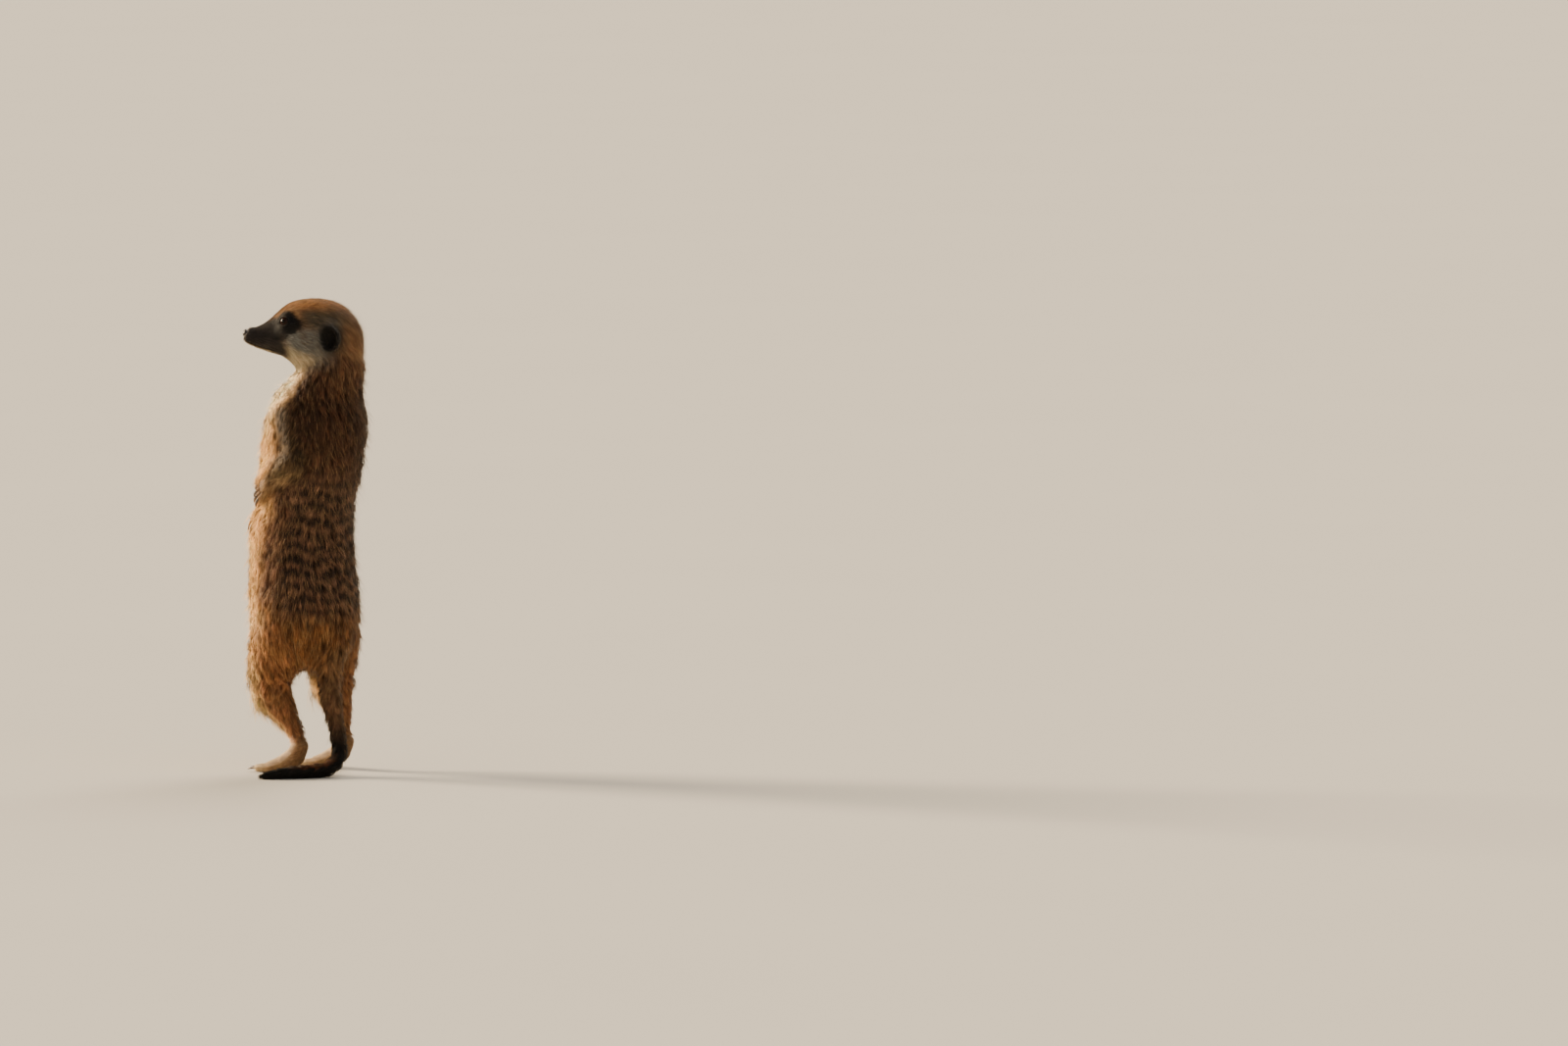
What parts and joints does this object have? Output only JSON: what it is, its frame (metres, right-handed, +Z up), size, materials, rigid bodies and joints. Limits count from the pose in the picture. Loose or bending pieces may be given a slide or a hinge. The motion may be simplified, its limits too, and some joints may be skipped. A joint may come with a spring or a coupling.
{
  "type": "meerkat figure",
  "caption": "Life-size meerkat standing upright on its hind feet with its tail laid on the floor, looking over its left shoulder.",
  "frame": {"origin": "on the floor, under the middle of the animal's bounding box", "axes": "+Z up; the hips face -Y, the animal's left side is +X, and the head is turned 45 degrees to its left"},
  "size_m": [0.0978, 0.0898, 0.3023],
  "materials": {
    "head_coat": "short dense fur, grey-fawn with a pale face and dark eye patches",
    "body_coat": "soft grizzled fur, tawny with dark bars across the back",
    "paw_coat": "very short pale fur",
    "tail_tip_coat": "short black fur",
    "ear": "thin dark skin with sparse black hair",
    "nose": "moist dark leathery pad",
    "eye": "wet and glossy, dark brown",
    "claw": "dark horn, slightly polished"
  },
  "bodies": {
    "root": {"head": "head_coat", "nose": "nose", "eye_left": "eye", "ear_left": "ear", "eye_right": "eye", "ear_right": "ear", "neck": "body_coat", "chest": "body_coat", "abdomen": "body_coat", "pelvis": "body_coat", "tail_base": "body_coat", "tail_upper": "body_coat", "tail_lower": "body_coat", "tail_tip": "tail_tip_coat", "upperarm_left": "body_coat", "forearm_left": "body_coat", "forepaw_left": "paw_coat", "foreclaw_left_1": "claw", "foreclaw_left_2": "claw", "foreclaw_left_3": "claw", "foreclaw_left_4": "claw", "upperarm_right": "body_coat", "forearm_right": "body_coat", "forepaw_right": "paw_coat", "foreclaw_right_1": "claw", "foreclaw_right_2": "claw", "foreclaw_right_3": "claw", "foreclaw_right_4": "claw", "thigh_left": "body_coat", "shank_left": "body_coat", "hindfoot_left": "paw_coat", "hindclaw_left_1": "claw", "hindclaw_left_2": "claw", "hindclaw_left_3": "claw", "hindclaw_left_4": "claw", "thigh_right": "body_coat", "shank_right": "body_coat", "hindfoot_right": "paw_coat", "hindclaw_right_1": "claw", "hindclaw_right_2": "claw", "hindclaw_right_3": "claw", "hindclaw_right_4": "claw"}
  },
  "joints": []
}
